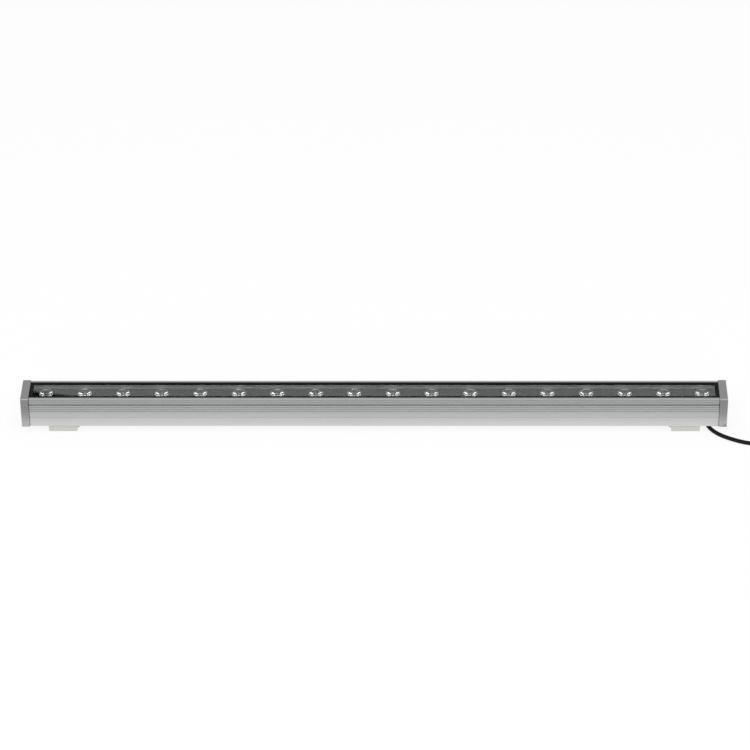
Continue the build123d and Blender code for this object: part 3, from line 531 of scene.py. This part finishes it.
def paint_chamfer_highlight(material):
    """The cut chamfers are painted brighter, a painted highlight: where the object's normal leans between two
    axes, |ny nz| over CUT_LEAN.
    """
    tree, shader = material.node_tree, principled(material)
    split = tree.nodes.new("ShaderNodeSeparateXYZ")
    tree.links.new(tree.nodes.new("ShaderNodeTexCoord").outputs["Normal"], split.inputs[0])
    lean = maths(tree, "ABSOLUTE", maths(tree, "MULTIPLY", split.outputs["Y"], split.outputs["Z"]))
    cut = maths(tree, "GREATER_THAN", lean, CUT_LEAN)
    plain = shader.inputs["Base Color"].links[0].from_socket
    # Painted highlight: the chamfers get a brighter colour
    tree.links.new(blend_colours(tree, cut, plain, (*CHAMFER_PAINTED_HIGHLIGHT, 1)), shader.inputs["Base Color"])


class LAMP_OT_metal(bpy.types.Operator):
    """Finishes the bar, the end caps, the feet and the fasteners"""
    bl_idname = "lamp.metal"
    bl_label = "Metal"

    def execute(self, context):
        settings = context.scene.lamp_metal
        bar, cap, bracket = (rgb(c) for c in (settings.anodised, settings.cap, settings.bracket))
        anodised = grained("Anodised bar", bar, scaled_colour(bar, 0.94), stretch=(0.02, 1, 1), grain=2500.0,
                           cloud=180.0, rough=(0.36, 0.44), depth=0.000006, metallic=1.0)
        shade_bar(anodised)
        dress(anodised, "housing_extrusion")
        blasted = grained("Blasted cap", cap, scaled_colour(cap, 0.78), grain=1400.0, cloud=500.0,
                          rough=(0.24, 0.34), depth=0.00003, metallic=1.0)
        paint_chamfer_highlight(blasted)
        dress(blasted, "end_cap_left", "end_cap_right")
        sides = ("left", "right")
        foot_metal = grained("Bracket aluminium", bracket, scaled_colour(bracket, 0.92), stretch=(0.1, 1, 1),
                             grain=1500.0, cloud=120.0, rough=(0.42, 0.52), depth=0.00001, metallic=0.85)
        dress(foot_metal, *(f"{piece}_{side}" for piece in ("foot", "hanger") for side in sides))
        for side in sides:
            cover = closed_piece(f"foot_cover_{side}", *bar_along_x(FOOT_COVER, x_range(f"foot_{side}")))
            carried(cover, foot_metal, "bracket_aluminium", f"{side}_foot")
        steel = (0.55, 0.55, 0.54)
        bright = grained("Bright steel", steel, scaled_colour(steel, 0.85), grain=1200.0, cloud=200.0,
                         rough=(0.25, 0.35), depth=0.000005, metallic=1.0)
        fasteners = ("end_cap_screws", "slot_slider", "clamp_bolt", "pivot_bolt", "pivot_washer")
        dress(bright, "outlet_nut", "led_board_screws",
              *(f"{piece}_{side}" for side in sides for piece in fasteners))
        return {"FINISHED"}


# Optics

# The seal's bead, inwards from its outer edge and in height: flat under, domed above, lapping over the lip.
# The dome is an arc about its middle, pressed down to a share of its height
BEAD_MIDDLE, BEAD_DOME = (2.3, 59.4), 0.35
SEAL_BEAD = np.array([
    (0.0, 60.0),
    *arc(BEAD_MIDDLE, 2.35, 165, 15, 9) * (1, BEAD_DOME) + (0, (1 - BEAD_DOME) * BEAD_MIDDLE[1]),
    (4.7, 59.0), (0.8, 59.0), (0.8, 60.0),
])
# Half the length and the width of the seal's outer edge
SEAL_HALVES = (487.95, 19.3)


class LAMP_OT_optics(bpy.types.Operator):
    """Finishes the glass, seals, trim plate, lenses, holders and lights"""
    bl_idname = "lamp.optics"
    bl_label = "Optics"

    def execute(self, context):
        settings = context.scene.lamp_optics
        dress(new_material("Cover glass", Base_Color=(0.93, 0.97, 0.96, 1), Roughness=0.004, IOR=1.5,
                           Transmission_Weight=1.0), "glass_cover")
        clear = new_material("Lens acrylic", Base_Color=(0.98, 0.99, 0.99, 1), Roughness=0.08, IOR=1.49,
                             Transmission_Weight=1.0)
        centres = [(x, 0.0, 0.0) for x in lens_places()]
        lenses = closed_piece("lens_row", *revolved(lens_profile(), centres))
        carried(lenses, clear, "clear_acrylic", "lamp", "lenses")
        seal, trim = rgb(settings.seal), rgb(settings.trim)
        silicone = grained("Black silicone", seal, scaled_colour(seal, 1.6), grain=900.0, rough=(0.55, 0.7),
                           depth=0.00002, Specular_IOR_Level=0.15)
        dress(silicone, "outlet_washer", "end_gasket_left", "end_gasket_right")
        bead = closed_piece("seal_bead", *mitred_ring(SEAL_BEAD, *SEAL_HALVES))
        carried(bead, silicone, "black_silicone", "lamp", "glass_seal")
        dress(grained("Trim plate", trim, scaled_colour(trim, 1.4), grain=1500.0, rough=(0.5, 0.6),
                      depth=0.00001, Specular_IOR_Level=0.3), "lens_trim_plate")
        holder = grained("Lens holder", (0.02, 0.02, 0.02), (0.03, 0.03, 0.03), grain=700.0, rough=(0.25, 0.35),
                         depth=0.00001)
        cups = closed_piece("lens_cups", *revolved(HOLDER_CUP, centres))
        carried(cups, holder, "holder_plastic", "lamp", "lens_holders")
        dress(grained("Solder mask", (0.03, 0.03, 0.03), (0.02, 0.02, 0.02), grain=700.0, rough=(0.3, 0.4),
                      depth=0.00001), "led_board")
        dress(grained("Phosphor", (0.6, 0.53, 0.3), (0.55, 0.48, 0.26), grain=1800.0, rough=(0.3, 0.4),
                      depth=0.00001), "led_emitters")
        return {"FINISHED"}


class LAMP_OT_inside(bpy.types.Operator):
    """Finishes the driver, its leads, the tie and the connector"""
    bl_idname = "lamp.inside"
    bl_label = "Driver and connector"

    def execute(self, context):
        dress(grained("Driver board", (0.03, 0.16, 0.07), (0.025, 0.13, 0.06), grain=600.0), "driver_board")
        dress(grained("Component", (0.02, 0.02, 0.02), (0.03, 0.03, 0.03), grain=900.0), "driver_components")
        dress(grained("Spacer", (0.7, 0.71, 0.7), (0.65, 0.66, 0.65), grain=900.0), "driver_spacers")
        dress(grained("Lead jacket", (0.2, 0.08, 0.03), (0.16, 0.06, 0.02), grain=900.0),
              "input_leads", "led_leads")
        dress(grained("Tie strap", (0.012, 0.012, 0.012), (0.02, 0.02, 0.02), grain=900.0, rough=(0.7, 0.8)),
              "cord_tie")
        dress(grained("Connector moulding", (0.012, 0.012, 0.012), (0.018, 0.018, 0.018), grain=1200.0,
                      rough=(0.4, 0.5)), "connector_body", "connector_ring")
        dress(grained("Brass", (0.78, 0.57, 0.25), (0.7, 0.5, 0.2), grain=900.0, rough=(0.2, 0.3), metallic=1.0),
              "connector_contacts")
        return {"FINISHED"}


# Stage, in metres

# The world's light on the object, next to the white that is seen
WORLD_LEVEL = 0.55
# The floor's own white, and how bright the lamps and the world make it
FLOOR_WHITE, FLOOR_LIT = 0.85, 0.87
# Where the lamps point, and the height of the cards' tops
LAMPS_AIM, CARDS_TOP = (0, 0, 0), 3.2
# The dark card behind the strip's left end, whose slanted edge is the dark wedge in the glass
FLAG = [(-0.88, 2.45, 1.753), (-0.72, 2.45, 1.7739), (-0.655, 2.45, 1.7775), (-0.655, 2.45, 1.80),
        (-0.88, 2.45, 1.80)]


def flat_card(name, corners):
    """A flat piece of the stage."""
    mesh = bpy.data.meshes.new(name)
    mesh.from_pydata(corners, [], [tuple(range(len(corners)))])
    return in_scene(name, mesh)


def level(x, y, z):
    """The corners of a level rectangle: two values of X, two of Y and one height."""
    return [(x[0], y[0], z), (x[1], y[0], z), (x[1], y[1], z), (x[0], y[1], z)]


def upright(x, y, z):
    """The corners of an upright rectangle: two values of X, one Y and two heights."""
    return [(x[0], y, z[0]), (x[1], y, z[0]), (x[1], y, z[1]), (x[0], y, z[1])]


def shown_ray(tree):
    """One for the rays that see the background: the camera's, glossy and transmitted ones."""
    path = tree.nodes.new("ShaderNodeLightPath")
    bright = maths(tree, "MAXIMUM", path.outputs["Is Glossy Ray"], path.outputs["Is Transmission Ray"])
    return maths(tree, "MAXIMUM", path.outputs["Is Camera Ray"], bright)


def glowing(name, grey):
    """A card's material, which shines evenly."""
    return new_material(name, Base_Color=(0, 0, 0, 1), Specular_IOR_Level=0.0,
                        Emission_Color=(grey, grey, grey, 1), Emission_Strength=1.0)


def pale_floor(shadow):
    """A white floor: most of its white is its own where it is seen, so that the shadow stays soft."""
    material = new_material("Floor", Roughness=0.9, Specular_IOR_Level=0.0, Emission_Color=(1, 1, 1, 1))
    tree, shader = material.node_tree, principled(material)
    seen = shown_ray(tree)
    tree.links.new(spread(tree, seen, 0.0, 1.0 - FLOOR_LIT * shadow), shader.inputs["Emission Strength"])
    white, kept = (FLOOR_WHITE, FLOOR_WHITE, FLOOR_WHITE, 1), (shadow, shadow, shadow, 1)
    tree.links.new(blend_colours(tree, seen, white, kept), shader.inputs["Base Color"])
    return material


def softbox(name, place, width, height, power):
    """A soft area lamp that points at the bar and isn't mirrored in it."""
    data = bpy.data.lights.new(name, "AREA")
    data.shape = "RECTANGLE"
    data.size, data.size_y, data.energy = width, height, power
    obj = in_scene(name, data)
    obj.location = place
    obj.rotation_euler = (Vector(LAMPS_AIM) - Vector(place)).to_track_quat("-Z", "Y").to_euler()
    obj.visible_glossy = False


def place_camera(scene, settings):
    """Looks at the aim from the given turn, height and distance, with a small roll."""
    yaw, pitch, roll = settings.azimuth, settings.elevation, settings.roll
    ahead = Vector((math.sin(yaw) * math.cos(pitch), math.cos(yaw) * math.cos(pitch), -math.sin(pitch)))
    right = Vector((math.cos(yaw), -math.sin(yaw), 0))
    up = right.cross(ahead)
    across = right * math.cos(roll) + up * math.sin(roll)
    back = -ahead
    data = bpy.data.cameras.new("camera")
    data.lens = settings.lens
    data.clip_end = 100.0
    camera = in_scene("camera", data)
    place = Vector(settings.aim) + back * settings.distance
    axes = Matrix((across, across.cross(ahead), back)).transposed()
    camera.matrix_world = Matrix.Translation(place) @ axes.to_4x4()
    scene.camera = camera


class LAMP_OT_stage(bpy.types.Operator):
    """Sets the pale floor, the soft lights and the camera"""
    bl_idname = "lamp.stage"
    bl_label = "Stage"

    def execute(self, context):
        scene = context.scene
        settings = scene.lamp_stage
        floor = flat_card("floor", level((-8, 8), (-8, 8), 0))
        floor.data.materials.append(pale_floor(settings.shadow))
        cards = [
            ("front_card", level((-1.2, 1.2), (-1.6, -0.065), 0.001), settings.front_card),
            ("ceiling_card", level((-6, 6), (-6, 2.6), CARDS_TOP), settings.back_card),
            ("back_card", upright((-4, 4), 2.5, (0.9, CARDS_TOP)), settings.back_card),
            ("strip_card", upright((-1.0, 1.0), 2.47, (1.71, 1.80)), settings.strip_card),
            ("flag", FLAG, 0.0),
        ]
        for name, corners, grey in cards:
            card = flat_card(name, corners)
            card.data.materials.append(glowing("Card", grey))
            for kind in ("camera", "diffuse", "shadow"):
                setattr(card, f"visible_{kind}", False)
            # The lenses see the white world through the ceiling card
            card.visible_transmission = name != "ceiling_card"
        softbox("key", (0.0, -2.8, 3.8), width=5.0, height=3.0, power=settings.key)
        softbox("low", (0.0, -2.4, 0.5), width=3.0, height=0.6, power=settings.low)
        world = bpy.data.worlds.new("Studio")
        scene.world = world
        world.use_nodes = True
        tree = world.node_tree
        background = tree.nodes["Background"]
        tree.links.new(spread(tree, shown_ray(tree), WORLD_LEVEL, 1.0), background.inputs["Strength"])
        background.inputs["Color"].default_value = (1, 1, 1, 1)
        place_camera(scene, settings)
        scene.view_settings.view_transform = "Standard"
        return {"FINISHED"}


class LAMP_PT_panel(bpy.types.Panel):
    """Lists the steps and their settings"""
    bl_idname = "LAMP_PT_panel"
    bl_label = "Wall washer"
    bl_space_type = "VIEW_3D"
    bl_region_type = "UI"
    bl_category = "Wall washer"

    def draw(self, context):
        for label, settings in SETTINGS.items():
            box = self.layout.box()
            for name in settings.__annotations__:
                box.prop(getattr(context.scene, label), name)
        for step in STEPS:
            self.layout.operator(step.bl_idname)


SETTINGS = {
    "lamp_cord": CordSettings, "lamp_metal": MetalSettings, "lamp_optics": OpticsSettings,
    "lamp_stage": StageSettings,
}
STEPS = (LAMP_OT_cord, LAMP_OT_metal, LAMP_OT_optics, LAMP_OT_inside, LAMP_OT_stage)


def register():
    for label, settings in SETTINGS.items():
        bpy.utils.register_class(settings)
        setattr(bpy.types.Scene, label, bpy.props.PointerProperty(type=settings))
    for step in (*STEPS, LAMP_PT_panel):
        bpy.utils.register_class(step)


def unregister():
    for step in reversed((*STEPS, LAMP_PT_panel)):
        bpy.utils.unregister_class(step)
    for label, settings in SETTINGS.items():
        delattr(bpy.types.Scene, label)
        bpy.utils.unregister_class(settings)


def main():
    register()
    for step in STEPS:
        group, name = step.bl_idname.split(".")
        getattr(getattr(bpy.ops, group), name)()


if __name__ == "__main__":
    main()
